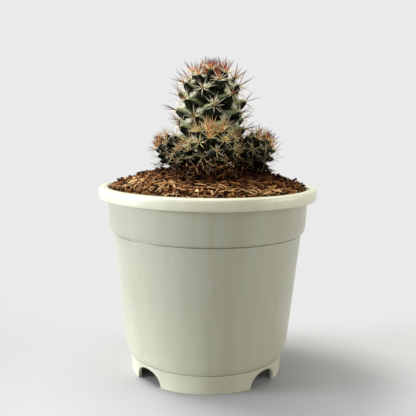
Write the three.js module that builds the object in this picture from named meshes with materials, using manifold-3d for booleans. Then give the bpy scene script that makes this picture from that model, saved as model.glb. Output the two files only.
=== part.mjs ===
// A round cactus with its offsets, in a plastic nursery pot of coconut-husk chips.
// Millimetres, +Z up. The origin is the middle of the pot's foot, on the surface it stands on,
// and -Y is the side that faces the viewer.
import * as THREE from 'three';
import { ConvexHull } from 'three/addons/math/ConvexHull.js';
import { mergeVertices } from 'three/addons/utils/BufferGeometryUtils.js';
import Module from 'manifold-3d';

const wasm = await Module();
wasm.setup();

// ---------------------------------------------------------------- driving dimensions

const GAP = 0.35; // clearance between two pieces that touch on the real plant

// Pot
const POT_SIDES = 44;
const RIM_RADIUS = 55; // across the rim the pot measures 110
const POT_HEIGHT = 95.5;
const WALL = 1.4;
const LIP_HEIGHT = 5.8;
const LIP_INNER_RADIUS = 50.6;
const LIP_ROUND = 1.5; // rounding of the lip's outer top edge
const LIP_EDGE = 0.6; // rounding of its other edges
const UPPER_RADIUS = 50.55; // outer wall just under the lip
const STEP_Z = 73.3; // where the wall steps in, so that empty pots stack
const STEP_RADIUS = 48.95;
const STEP_ROUND = 2; // height over which the band's lower edge rounds in
const INNER_STEP_RADIUS = STEP_RADIUS + 0.6 - WALL;
const WALL_BELOW_STEP_RADIUS = 47.88;
const WALL_FOOT_RADIUS = 42.15;
const WALL_FOOT_Z = 16;
const FOOT_HEIGHT = 9.5;
const FOOT_TOP_RADIUS = 39.55;
const FOOT_RADIUS = 38.85;
const FOOT_WALL = 1.6;
const FOOT_ROUND = 3; // height over which the wall turns in to the foot
const FLOOR = 1.5; // thickness of the pot's floor
const NOTCHES = [47, 133, 227, 313]; // arches in the foot ring, degrees round from the front
const NOTCH_WIDTH = 17.6;
const NOTCH_HEIGHT = 7.9;
const NOTCH_ARCH = [[1, 0], [0.94, 0.4], [0.62, 0.85], [0.22, 1]]; // shares of half width and height
const DRAIN_RADIUS = 4.2;
const DRAIN_CIRCLE = 26;
const DRAIN_SIDES = 12;

// Husk chips: a mound that nearly fills the pot
const SOIL_SIDES = 28;
const SOIL_RINGS = 8;
const SOIL_EDGE_Z = 93.8;
const SOIL_CREST_Z = 103.6;
const SOIL_SHAPE = 2.6; // how late the mound falls off towards the rim
const SOIL_ROUGHNESS = 1.1; // how far the crumbled top stands up or lies low
const SOIL_BOTTOM_Z = FOOT_HEIGHT + FLOOR + GAP;
const CHIPS = 42;
const CHIP_LENGTH = [4.5, 9.5];
const CHIP_WIDTH = [2.4, 4.6];
const CHIP_THICKNESS = [1.4, 2.6];
const CHIP_RING = [21, 45]; // nearest to and furthest from the pot's axis

// Tubercles: the cone-shaped warts that carry the spines
const SPIRAL_TURN = THREE.MathUtils.degToRad(137.508);
const TIP_SPREAD = 0.19; // tip radius of a tubercle, as a part of the room it has
const SHOULDER_SPREAD = 0.74; // a tubercle's width part-way up, as a part of its foot
const SHOULDER_HEIGHT = 0.5;
const YOUNG_SIZE = 0.45; // height of the youngest tubercle, as a part of an old one's
const LIFT = 0.22; // how far tubercles turn towards the crown

// Spines
const CENTRAL_EXTRA = 1.25; // a central's thickness over a radial's
const SPINE_ROOT = 0.7; // sunk into the tubercle
const RADIAL_LEAN = THREE.MathUtils.degToRad(62);
const CENTRAL_LEAN = THREE.MathUtils.degToRad(14);
const SPINE_CLEARANCE = 0.32;
const SPINE_RING = 0.48; // where the radials stand, as a part of the tubercle's tip
const BENDS = [0, 0.35, 0.65, 0.9]; // how far a spine that is in the way is bent clear

// Heads. centre: widest part. crown: the way it grows. radius: at the tubercles' tips.
// up and down: from the centre to the top and the bottom of the stem inside the tubercles.
// wart: a full-grown tubercle's height. room and youngRoom: surface of the stem that an old and
// a young one take. growth: how far from the crown they are full-grown. turn: where the spiral
// starts. root: where the head's neck ends in the chips, and the neck's radius.
const HEADS = [
  {
    name: 'mother_stem', centre: [1, 2, 133.1], crown: [0, 0, 1], radius: 17.6,
    up: 17.4, down: 32, bulge: 2.5, wart: 5.6, shouldered: true,
    turn: 167.4, room: 74.2, youngRoom: 10.4, growth: 21,
    radials: 5, radialLength: 5.4, centralLength: 6.4, spineRadius: 0.22,
    root: [1, 2, 92], rootRadius: 7.5,
  },
  {
    name: 'offset_front', centre: [1.5, -19.5, 113.6], crown: [0.04, -0.5, 0.86], radius: 12,
    up: 9.6, down: 12, bulge: 2.3, wart: 3.9, shouldered: true,
    turn: 161.2, room: 25.5, youngRoom: 5.8, growth: 8,
    radials: 3, radialLength: 4.4, centralLength: 5, spineRadius: 0.19,
    root: [1.5, -14.5, 95], rootRadius: 4.6,
  },
  {
    name: 'offset_right', centre: [22.8, -4.5, 112.4], crown: [0.62, -0.18, 0.76], radius: 10.6,
    up: 8, down: 9.6, bulge: 2.2, wart: 3.5, shouldered: false,
    turn: 217.3, room: 26.6, youngRoom: 10.4, growth: 12,
    radials: 3, radialLength: 4.3, centralLength: 5, spineRadius: 0.19,
    root: [17.2, -3.5, 95.5], rootRadius: 3.8,
  },
  {
    name: 'offset_left', centre: [-17.6, -1.5, 112.5], crown: [-0.78, -0.2, 0.6], radius: 9,
    up: 7.2, down: 8.6, bulge: 2.2, wart: 3.2, shouldered: false,
    turn: 57.7, room: 30, youngRoom: 9, growth: 14,
    radials: 3, radialLength: 4.2, centralLength: 4.8, spineRadius: 0.19,
    root: [-13.4, -0.5, 95.5], rootRadius: 3.6,
  },
  {
    name: 'offset_small', centre: [-11.4, -17.6, 109.8], crown: [-0.35, -0.5, 0.79], radius: 6.6,
    up: 5.2, down: 6, bulge: 2.2, wart: 2.5, shouldered: false,
    turn: 10, room: 21, youngRoom: 6, growth: 8,
    radials: 3, radialLength: 3.8, centralLength: 4.2, spineRadius: 0.17,
    root: [-9.8, -15.5, 96], rootRadius: 2.6,
  },
  {
    name: 'offset_back', centre: [-0.5, 22.6, 112.6], crown: [-0.12, 0.6, 0.79], radius: 9.8,
    up: 7.6, down: 9, bulge: 2.2, wart: 3.3, shouldered: false,
    turn: 60, room: 28, youngRoom: 7, growth: 10,
    radials: 3, radialLength: 4.2, centralLength: 4.8, spineRadius: 0.19,
    root: [0.2, 17.5, 95.5], rootRadius: 3.6,
  },
];

const COLOURS = {
  pot: { color: 0xdfe2d0, roughness: 0.42, metalness: 0 },
  soil: { color: 0x7a5633, roughness: 0.95, metalness: 0 },
  stem: { color: 0x4f6449, roughness: 0.6, metalness: 0 },
};

// ---------------------------------------------------------------- tools for solids

const SEED = 20417;

// A seeded draw between 0 and 1, the same on every run.
function drawing(seed) {
  let state = seed >>> 0;
  return () => {
    state = (state + 0x6d2b79f5) >>> 0;
    let mixed = Math.imul(state ^ (state >>> 15), 1 | state);
    mixed = (mixed + Math.imul(mixed ^ (mixed >>> 7), 61 | mixed)) ^ mixed;
    return ((mixed ^ (mixed >>> 14)) >>> 0) / 4294967296;
  };
}

function between(draw, [low, high]) {
  return low + (high - low) * draw();
}

// Only the corners count: seams are closed and triangles without area are left out.
function closedShape(geometry) {
  const bare = geometry.clone();
  bare.deleteAttribute('normal');
  bare.deleteAttribute('uv');
  const merged = mergeVertices(bare, 1e-5);
  const index = merged.index.array;
  const kept = [];
  for (let i = 0; i < index.length; i += 3) {
    const [a, b, c] = [index[i], index[i + 1], index[i + 2]];
    if (a !== b && b !== c && c !== a) kept.push(a, b, c);
  }
  merged.setIndex(kept);
  return merged;
}

function solid(geometry, placing = new THREE.Matrix4()) {
  const shape = closedShape(geometry).applyMatrix4(placing);
  return new wasm.Manifold(new wasm.Mesh({
    numProp: 3,
    vertProperties: new Float32Array(shape.attributes.position.array),
    triVerts: new Uint32Array(shape.index.array),
  }));
}

function fused(solids) {
  return wasm.Manifold.union(solids);
}

// The biggest body of a cut solid: loose scraps are dropped.
function biggest(shape) {
  const bodies = shape.decompose();
  return bodies.reduce((best, body) => (body.volume() > best.volume() ? body : best));
}

function meshOf(name, shape, colours) {
  const { vertProperties, triVerts } = shape.getMesh();
  const geometry = new THREE.BufferGeometry();
  geometry.setAttribute('position', new THREE.Float32BufferAttribute(vertProperties, 3));
  geometry.setIndex(new THREE.Uint32BufferAttribute(triVerts, 1));
  geometry.computeVertexNormals();
  const mesh = new THREE.Mesh(geometry, new THREE.MeshStandardMaterial(colours));
  mesh.name = name;
  return mesh;
}

// Turned about +Z from a profile of [radius, height] points.
function turned(profile, sides) {
  const points = profile.map(([radius, height]) => new THREE.Vector2(radius, height));
  return new THREE.LatheGeometry(points, sides).rotateX(Math.PI / 2);
}

const UP = new THREE.Vector3(0, 0, 1);

// Stands a shape that was made along +Z at a point, along a direction, rolled about it.
function standing(point, direction, roll = 0) {
  const lean = new THREE.Quaternion().setFromUnitVectors(UP, direction);
  const spin = new THREE.Quaternion().setFromAxisAngle(UP, roll);
  return new THREE.Matrix4().compose(point, lean.multiply(spin), new THREE.Vector3(1, 1, 1));
}

function around(degrees, radius, height) {
  const angle = THREE.MathUtils.degToRad(degrees);
  return new THREE.Vector3(radius * Math.sin(angle), -radius * Math.cos(angle), height);
}

// ---------------------------------------------------------------- pot

// Outside from the floor's middle to the rim, then down the inside.
function potProfile() {
  const lipBottom = POT_HEIGHT - LIP_HEIGHT;
  const floorTop = FOOT_HEIGHT + FLOOR;
  return [
    [0, FOOT_HEIGHT],
    [FOOT_TOP_RADIUS - FOOT_WALL, FOOT_HEIGHT],
    [FOOT_RADIUS - FOOT_WALL, 0],
    [FOOT_RADIUS, 0],
    [FOOT_TOP_RADIUS, FOOT_HEIGHT],
    [THREE.MathUtils.lerp(FOOT_TOP_RADIUS, WALL_FOOT_RADIUS, 0.6), FOOT_HEIGHT + FOOT_ROUND],
    [WALL_FOOT_RADIUS, WALL_FOOT_Z],
    [WALL_BELOW_STEP_RADIUS, STEP_Z - 0.5],
    [STEP_RADIUS, STEP_Z],
    [STEP_RADIUS + 0.85, STEP_Z + STEP_ROUND],
    [UPPER_RADIUS, lipBottom],
    [RIM_RADIUS - LIP_EDGE, lipBottom],
    [RIM_RADIUS - LIP_EDGE / 4, lipBottom + LIP_EDGE],
    [RIM_RADIUS, POT_HEIGHT - LIP_ROUND],
    [RIM_RADIUS - LIP_ROUND / 3, POT_HEIGHT - LIP_ROUND / 3],
    [RIM_RADIUS - LIP_ROUND, POT_HEIGHT],
    [LIP_INNER_RADIUS + LIP_EDGE, POT_HEIGHT],
    [LIP_INNER_RADIUS, POT_HEIGHT - LIP_EDGE],
    [UPPER_RADIUS - WALL, lipBottom],
    [INNER_STEP_RADIUS, STEP_Z + STEP_ROUND],
    [WALL_BELOW_STEP_RADIUS - WALL, STEP_Z - WALL],
    [WALL_FOOT_RADIUS - WALL, WALL_FOOT_Z],
    [FOOT_TOP_RADIUS - WALL / 2, floorTop],
    [0, floorTop],
  ];
}

// An arch, round at the top, pushed through the foot ring.
function notch(degrees) {
  const right = NOTCH_ARCH.map(([out, up]) => [(out * NOTCH_WIDTH) / 2, up * NOTCH_HEIGHT]);
  const left = right.map(([out, up]) => [-out, up]).reverse();
  const below = [[-NOTCH_WIDTH / 2, -1], [NOTCH_WIDTH / 2, -1]];
  const arch = new THREE.Shape([...below, ...right, ...left].map((at) => new THREE.Vector2(...at)));
  const depth = 6 * FOOT_WALL;
  const cutter = new THREE.ExtrudeGeometry(arch, { depth, bevelEnabled: false });
  const placing = new THREE.Matrix4().makeRotationZ(THREE.MathUtils.degToRad(degrees));
  placing.multiply(new THREE.Matrix4().makeTranslation(0, -FOOT_RADIUS + depth / 2, 0));
  placing.multiply(new THREE.Matrix4().makeRotationX(Math.PI / 2));
  return solid(cutter, placing);
}

function drain(point) {
  const hole = new THREE.CylinderGeometry(DRAIN_RADIUS, DRAIN_RADIUS, 3 * FLOOR, DRAIN_SIDES);
  return solid(hole.rotateX(Math.PI / 2), new THREE.Matrix4().setPosition(point));
}

function pot() {
  const middle = FOOT_HEIGHT + FLOOR / 2;
  const cutters = NOTCHES.map(notch);
  cutters.push(drain(new THREE.Vector3(0, 0, middle)));
  for (const degrees of NOTCHES) cutters.push(drain(around(degrees, DRAIN_CIRCLE, middle)));
  return solid(turned(potProfile(), POT_SIDES)).subtract(fused(cutters));
}

// ---------------------------------------------------------------- heads

// Radius of a head's stem, inside the tubercles, at a height above its widest part.
function stemRadius(head, height) {
  const reach = height > 0 ? head.up : head.down;
  const share = Math.min(1, Math.abs(height) / reach);
  return (head.radius - head.wart) * (1 - share ** head.bulge) ** (1 / head.bulge);
}

function headFrame(head) {
  const centre = new THREE.Vector3(...head.centre);
  const crown = new THREE.Vector3(...head.crown).normalize();
  return { centre, crown, placing: standing(centre, crown) };
}

// The neck below the head, down to its root in the chips.
function neck(head, grown) {
  const { centre } = headFrame(head);
  const root = new THREE.Vector3(...head.root);
  const way = centre.clone().sub(root);
  const length = way.length();
  const profile = [
    [0, -grown],
    [head.rootRadius * 0.55 + grown, -grown],
    [head.rootRadius + grown, 4],
    [head.rootRadius * 1.15 + grown, length * 0.6],
    [0, length * 0.9],
  ];
  return solid(turned(profile, 8), standing(root, way.normalize()));
}

// Seats of the tubercles, in one spiral from the crown down to the root. A young one near the
// crown has less room. onBall is the seat on a ball that keeps the seats' spacing in proportion.
function spiralSeats(head) {
  const seats = [];
  const { placing } = headFrame(head);
  const turning = new THREE.Matrix3().setFromMatrix4(placing);
  const step = 0.01;
  let along = 0;
  let count = 0;
  let ballWay = 0;
  let ballMiddle = 0;
  let [lastRadius, lastHeight] = [0, head.up];
  for (let share = step; share < 2; share += step) {
    const angle = Math.PI / 2 - (Math.PI * share) / 2;
    const height = Math.sin(angle) * (angle < 0 ? head.down : head.up);
    const radius = stemRadius(head, height);
    const middle = (radius + lastRadius) / 2;
    const piece = Math.hypot(radius - lastRadius, height - lastHeight);
    along += piece;
    ballWay += piece / middle;
    if (height > 0) ballMiddle = ballWay;
    const age = Math.min(1, along / head.growth);
    const room = head.youngRoom + (head.room - head.youngRoom) * age;
    count += (2 * Math.PI * middle * piece) / room;
    while (count >= seats.length + 0.5) {
      const turn = THREE.MathUtils.degToRad(head.turn) + SPIRAL_TURN * seats.length;
      const [sine, cosine] = [Math.sin(turn), Math.cos(turn)];
      const [rise, fall] = [(lastHeight - height) / piece, (radius - lastRadius) / piece];
      const point = new THREE.Vector3(radius * sine, -radius * cosine, height);
      const way = new THREE.Vector3(rise * sine, -rise * cosine, fall + LIFT).normalize();
      seats.push({
        point: point.applyMatrix4(placing),
        way: way.applyMatrix3(turning),
        size: head.wart * THREE.MathUtils.lerp(YOUNG_SIZE, 1, age),
        tipRadius: TIP_SPREAD * Math.sqrt(room),
        ballWay,
        turn,
      });
    }
    [lastRadius, lastHeight] = [radius, height];
  }
  for (const seat of seats) {
    const up = Math.tanh(ballMiddle - seat.ballWay);
    const out = Math.sqrt(1 - up * up);
    seat.onBall = new THREE.Vector3(out * Math.sin(seat.turn), -out * Math.cos(seat.turn), up);
  }
  return seats;
}

function soilHeight(x, y) {
  const share = Math.min(1, Math.hypot(x, y) / LIP_INNER_RADIUS);
  return SOIL_EDGE_Z + (SOIL_CREST_Z - SOIL_EDGE_Z) * (1 - share ** SOIL_SHAPE);
}

function tipOf(seat) {
  return seat.point.clone().addScaledVector(seat.way, seat.size);
}

// Whether a point lies inside a head's stem, made thicker by a margin.
function insideStem(head, point, margin) {
  const { centre, crown } = headFrame(head);
  const offset = point.clone().sub(centre);
  const height = offset.dot(crown);
  if (height > head.up + margin || height < -head.down - margin) return false;
  const radius = Math.sqrt(Math.max(0, offset.lengthSq() - height * height));
  const within = Math.sign(height) * Math.min(Math.abs(height), height > 0 ? head.up : head.down);
  return radius < stemRadius(head, within) + margin;
}

// A seat stays bare where its tubercle would meet the chips or a neighbour presses on it.
function seatsOf(head) {
  const seats = spiralSeats(head);
  for (const seat of seats) {
    const tip = tipOf(seat);
    const low = tip.z < soilHeight(tip.x, tip.y) + 1.6;
    seat.bare = low || HEADS.some((other) => other !== head && insideStem(other, tip, 1.2));
  }
  return seats;
}

// The triangles between neighbouring seats, as seat numbers.
function seatTriangles(seats) {
  const numbers = new Map(seats.map((seat, i) => [seat.onBall, i]));
  const hull = new ConvexHull().setFromPoints(seats.map((seat) => seat.onBall));
  return hull.faces.map((face) => [0, 1, 2].map((i) => numbers.get(face.getEdge(i).head().point)));
}

// For every seat, the triangles round it, in order.
function trianglesRound(seats, triangles) {
  const after = seats.map(() => new Map());
  triangles.forEach((corners, triangle) => {
    corners.forEach((seat, i) => {
      after[seat].set(corners[(i + 1) % 3], { triangle, next: corners[(i + 2) % 3] });
    });
  });
  return after.map((ways) => {
    const round = [];
    let [at] = ways.keys();
    while (round.length < ways.size) {
      round.push(ways.get(at).triangle);
      at = ways.get(at).next;
    }
    return round;
  });
}

// The stem and its tubercles as one closed surface. The middle of every triangle between three
// seats is an axil, and the axils round a seat are the foot of its tubercle.
function headSurface(head, seats, grown) {
  const triangles = seatTriangles(seats);
  const corners = [];
  const faces = [];
  const corner = (point) => corners.push(point) - 1;
  const axils = triangles.map((three) => {
    const axil = new THREE.Vector3();
    for (const i of three) axil.addScaledVector(seats[i].point, 1 / 3);
    const out = new THREE.Vector3();
    for (const i of three) out.add(seats[i].way);
    return corner(axil.addScaledVector(out.normalize(), grown));
  });
  trianglesRound(seats, triangles).forEach((round, i) => {
    const seat = seats[i];
    const foot = round.map((triangle) => axils[triangle]);
    const spread = foot.map((axil) => {
      const out = corners[axil].clone().sub(seat.point);
      return out.addScaledVector(seat.way, -out.dot(seat.way));
    });
    const ring = (height, reach) => spread.map((out) => corner(
      seat.point.clone().addScaledVector(seat.way, height + grown).add(reach(out)),
    ));
    const rings = [foot];
    if (!seat.bare) {
      const wider = (out) => out.clone().multiplyScalar(SHOULDER_SPREAD + grown / out.length());
      if (head.shouldered) rings.push(ring(seat.size * SHOULDER_HEIGHT, wider));
      rings.push(ring(seat.size, (out) => out.clone().setLength(seat.tipRadius + grown)));
    }
    const count = foot.length;
    for (let level = 1; level < rings.length; level += 1) {
      for (let j = 0; j < count; j += 1) {
        const k = (j + 1) % count;
        const [low, high] = [rings[level - 1], rings[level]];
        faces.push(low[j], low[k], high[k], low[j], high[k], high[j]);
      }
    }
    const top = rings[rings.length - 1];
    for (let j = 2; j < count; j += 1) faces.push(top[0], top[j - 1], top[j]);
  });
  const surface = new THREE.BufferGeometry().setFromPoints(corners);
  return surface.setIndex(faces);
}

function headBody(head, seats, grown = 0) {
  return fused([solid(headSurface(head, seats, grown)), neck(head, grown)]);
}

// ---------------------------------------------------------------- spines

// The spines of one tubercle: a star of radials, and one central that points out and up.
function spinesAt(head, seat, draw) {
  const tip = tipOf(seat);
  const side = new THREE.Vector3().crossVectors(UP, seat.way);
  if (side.lengthSq() < 1e-4) side.set(1, 0, 0);
  side.normalize();
  const above = new THREE.Vector3().crossVectors(seat.way, side);
  const leaning = (lean, round) => seat.way.clone().multiplyScalar(Math.cos(lean))
    .addScaledVector(side, Math.sin(lean) * Math.cos(round))
    .addScaledVector(above, Math.sin(lean) * Math.sin(round));
  const young = seat.size / head.wart;
  const spines = [];
  for (let i = 0; i < head.radials; i += 1) {
    const round = (2 * Math.PI * (i + 0.5 * draw())) / head.radials + 0.3;
    const lean = (RADIAL_LEAN + 0.25 * (draw() - 0.5)) * (0.35 + 0.65 * young ** 2);
    const length = head.radialLength * (0.85 + 0.3 * draw());
    const beside = leaning(Math.PI / 2, round).multiplyScalar(seat.tipRadius * SPINE_RING);
    const start = tip.clone().add(beside);
    spines.push({ tip: start, way: leaning(lean, round), length, radius: head.spineRadius });
  }
  const lean = CENTRAL_LEAN * (0.4 + 1.2 * draw()) * young;
  const length = head.centralLength * (0.85 + 0.3 * draw());
  const radius = head.spineRadius * CENTRAL_EXTRA;
  spines.push({ tip, way: leaning(lean, 2 * Math.PI * draw()), length, radius });
  return spines;
}

function needle({ tip, way, length, radius }, wider = 0) {
  const shape = new THREE.ConeGeometry(radius + wider, length + SPINE_ROOT + wider, 3);
  shape.rotateX(Math.PI / 2).translate(0, 0, (length - SPINE_ROOT + wider) / 2);
  return solid(shape, standing(tip, way));
}

// Shortest way between two spines, measured at points along them.
function spinesMeet(one, other) {
  const reach = one.length + other.length + 1;
  if (one.tip.distanceToSquared(other.tip) > reach * reach) return false;
  const line = new THREE.Line3(other.tip, other.tip.clone().addScaledVector(other.way, other.length));
  const near = new THREE.Vector3();
  for (let part = 0; part <= 1; part += 0.1) {
    const point = one.tip.clone().addScaledVector(one.way, one.length * part);
    line.closestPointToPoint(point, true, near);
    if (near.distanceTo(point) < one.radius + other.radius + SPINE_CLEARANCE) return true;
  }
  return false;
}

// A spine that would cross another piece is bent towards its tubercle's own way, then shortened,
// and left out if it still meets that piece.
function clearSpine(spine, seat, neighbours, placed) {
  for (const bend of BENDS) {
    const way = spine.way.clone().lerp(seat.way, bend).normalize();
    for (const part of [1, 0.8]) {
      const tried = { ...spine, way, length: spine.length * part };
      const meets = placed.some((other) => spinesMeet(tried, other));
      if (meets) continue;
      const wide = needle(tried, SPINE_CLEARANCE);
      if (neighbours.every((shape) => wide.intersect(shape).isEmpty())) return tried;
    }
  }
  return null;
}

// ---------------------------------------------------------------- chips

// A chip of husk: a block with every corner moved a little.
function chip(draw) {
  const size = [between(draw, CHIP_LENGTH), between(draw, CHIP_WIDTH), between(draw, CHIP_THICKNESS)];
  const block = closedShape(new THREE.BoxGeometry(...size));
  const corners = block.attributes.position;
  for (let i = 0; i < corners.count; i += 1) {
    corners.setXYZ(
      i,
      corners.getX(i) * (0.7 + 0.35 * draw()),
      corners.getY(i) * (0.6 + 0.5 * draw()),
      corners.getZ(i) * (0.75 + 0.4 * draw()),
    );
  }
  return block;
}

function moundProfile() {
  const outer = [
    [FOOT_TOP_RADIUS - WALL / 2 - GAP, SOIL_BOTTOM_Z],
    [WALL_FOOT_RADIUS - WALL - GAP, WALL_FOOT_Z + GAP],
    [WALL_BELOW_STEP_RADIUS - WALL - GAP, STEP_Z - WALL + GAP],
    [INNER_STEP_RADIUS - GAP, STEP_Z + STEP_ROUND + GAP],
    [UPPER_RADIUS - WALL - GAP, POT_HEIGHT - LIP_HEIGHT],
  ];
  const top = [];
  const edge = LIP_INNER_RADIUS - 1 - GAP;
  for (let i = SOIL_RINGS; i >= 0; i -= 1) {
    const radius = (edge * i) / SOIL_RINGS;
    top.push([radius, soilHeight(radius, 0)]);
  }
  return [[0, SOIL_BOTTOM_Z], ...outer, ...top];
}

// The mound's top crumbled: every corner but those at its edge stands up or lies low a little.
function crumbled(shape, draw) {
  const places = shape.attributes.position;
  for (let i = 0; i < places.count; i += 1) {
    if (places.getZ(i) > SOIL_EDGE_Z + SOIL_ROUGHNESS) {
      places.setZ(i, places.getZ(i) + SOIL_ROUGHNESS * (2 * draw() - 1));
    }
  }
  return shape;
}

function chipPieces(draw) {
  const pieces = [];
  for (let i = 0; i < CHIPS; i += 1) {
    // Chips at even steps along a spiral cover the ring around the plants evenly.
    const radius = THREE.MathUtils.lerp(...CHIP_RING, Math.sqrt((i + 0.5) / CHIPS));
    const place = around(THREE.MathUtils.radToDeg(SPIRAL_TURN * i), radius, 0);
    place.z = soilHeight(place.x, place.y) + CHIP_THICKNESS[0] * (0.2 + 0.5 * draw());
    const way = new THREE.Vector3(draw() - 0.5, draw() - 0.5, 1.4).normalize();
    pieces.push(solid(chip(draw), standing(place, way, 2 * Math.PI * draw())));
  }
  return pieces;
}

function soil(holes) {
  const draw = drawing(SEED);
  const mound = solid(crumbled(closedShape(turned(moundProfile(), SOIL_SIDES)), draw));
  return biggest(fused([mound, ...chipPieces(draw)]).subtract(holes));
}

// ---------------------------------------------------------------- the plant in its pot

const plant = HEADS.map((head) => ({ head, seats: seatsOf(head) }));
for (const one of plant) {
  one.body = headBody(one.head, one.seats);
  one.wider = headBody(one.head, one.seats, GAP);
}

// Each offset stops a gap short of the heads before it.
plant.forEach((one, i) => {
  if (i > 0) {
    const before = fused(plant.slice(0, i).map((other) => other.wider));
    one.body = biggest(one.body.subtract(before));
  }
});

const chips = soil(fused(plant.map((one) => one.wider)));

const placed = [];
plant.forEach((one, i) => {
  const draw = drawing(SEED + 1 + i);
  const neighbours = [chips, ...plant.filter((other) => other !== one).map((other) => other.body)];
  const own = [];
  for (const seat of one.seats) {
    if (seat.bare) continue;
    for (const spine of spinesAt(one.head, seat, draw)) {
      const clear = clearSpine(spine, seat, neighbours, placed);
      if (clear) own.push(clear);
    }
  }
  placed.push(...own);
  one.solid = biggest(fused([one.body, ...own.map((spine) => needle(spine))]));
});

const cactus = new THREE.Group();
cactus.add(meshOf('pot', pot(), COLOURS.pot));
cactus.add(meshOf('soil', chips, COLOURS.soil));
for (const one of plant) cactus.add(meshOf(one.head.name, one.solid, COLOURS.stem));

export default cactus;
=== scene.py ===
# A round cactus and its offsets in a footed nursery pot of coconut-husk chips.
# The sizes are the CAD frame's own, in millimetres, and every mesh is made in metres.
import random
from math import copysign, cos, hypot, pi, radians, sin, sqrt, tanh, tau
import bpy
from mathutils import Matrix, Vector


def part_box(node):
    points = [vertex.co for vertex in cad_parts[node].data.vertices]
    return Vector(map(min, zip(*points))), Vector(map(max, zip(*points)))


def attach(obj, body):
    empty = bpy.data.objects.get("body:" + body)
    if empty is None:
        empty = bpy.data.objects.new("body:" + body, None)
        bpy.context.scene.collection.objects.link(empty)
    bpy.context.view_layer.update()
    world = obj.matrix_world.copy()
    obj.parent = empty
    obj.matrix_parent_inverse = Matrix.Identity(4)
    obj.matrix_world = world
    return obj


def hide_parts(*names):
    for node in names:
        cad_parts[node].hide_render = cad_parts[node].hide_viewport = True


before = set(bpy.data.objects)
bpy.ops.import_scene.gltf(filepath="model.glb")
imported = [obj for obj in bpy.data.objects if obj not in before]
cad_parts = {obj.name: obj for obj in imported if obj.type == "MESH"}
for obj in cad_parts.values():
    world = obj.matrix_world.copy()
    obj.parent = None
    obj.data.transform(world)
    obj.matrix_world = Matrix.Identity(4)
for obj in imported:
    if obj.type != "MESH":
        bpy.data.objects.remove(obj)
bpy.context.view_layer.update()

from types import SimpleNamespace

import bmesh
import bpy
import numpy as np
from mathutils import Matrix, Quaternion, Vector

MM = 0.001
GOLDEN_TURN = radians(137.508)
UP = Vector((0, 0, 1))

# ---- sizes, in millimetres

RIM_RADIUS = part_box("pot")[1][0] / MM
POT_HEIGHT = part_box("pot")[1][2] / MM
WALL = 1.4
LIP_HEIGHT = 5.8
LIP_INNER_RADIUS = 50.6
UPPER_RADIUS = 50.55
STEP_Z = 73.3
STEP_RADIUS = 48.95
WALL_TOP_RADIUS = 47.88
WALL_FOOT_RADIUS = 42.15
WALL_FOOT_Z = 16
FOOT_HEIGHT = 9.5
FOOT_TOP_RADIUS = 39.55
FOOT_RADIUS = 38.85
FOOT_WALL = 1.6
FLOOR = 1.5
NOTCHES = (47, 133, 227, 313)
NOTCH_HALF_ANGLE = 13.2
NOTCH_HEIGHT = 7.9
DRAIN_RADIUS = 4.2
DRAIN_CIRCLE = 26
DRAIN_SIDES = 24

# The filling keeps SOIL_GAP off the pot, and lies BED_DEPTH under the smooth mound.
SOIL_EDGE_Z = 93.8
SOIL_CREST_Z = 103.6
SOIL_SHAPE = 2.35
SOIL_RADIUS = LIP_INNER_RADIUS - 1.0
SOIL_GAP = 0.35
BED_DEPTH = 0.5
BED_RINGS = 40
BED_SIDES = 120
FIBRES = 3200

# The husk is painted darker round the middle given here, as damp and as the plant's shade, less so in
# the last edge of the reach.
DAMP_AND_SHADE_MIDDLE = (7, 14)
DAMP_AND_SHADE_REACH = 48
DAMP_AND_SHADE_EDGE = 14

# Tubercles: how wide the tip is for its room, how far it points to the crown, how far its foot
# sags, how small it is on the crown, how far from there it is young, and how deep spines root.
TIP_SPREAD = 0.15
LIFT = 0.22
DROOP = 0.34
YOUNG_SIZE = 0.56
YOUNG_ANGLE = radians(58)
PIT_DEPTH = 0.3

# How far a tip ends (over the chips, off the other heads).
TUBERCLE_CLEARANCE = (1.6, 1.2)
SPINE_CLEARANCE = (0.3, 1.5)

# The skin and spines are drawn darker towards the chips, and spines are lost there: (unchanged above
# here, most changed below here).
SKIN_DARKENS_Z = (117, 104)
SPINES_DARKEN_Z = (117, 103)
LOST_SPINES_Z = (119, 105)

# The power by which strands thin towards their points.
TAPER = 1.8
NECK_SIDES = 20
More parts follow.
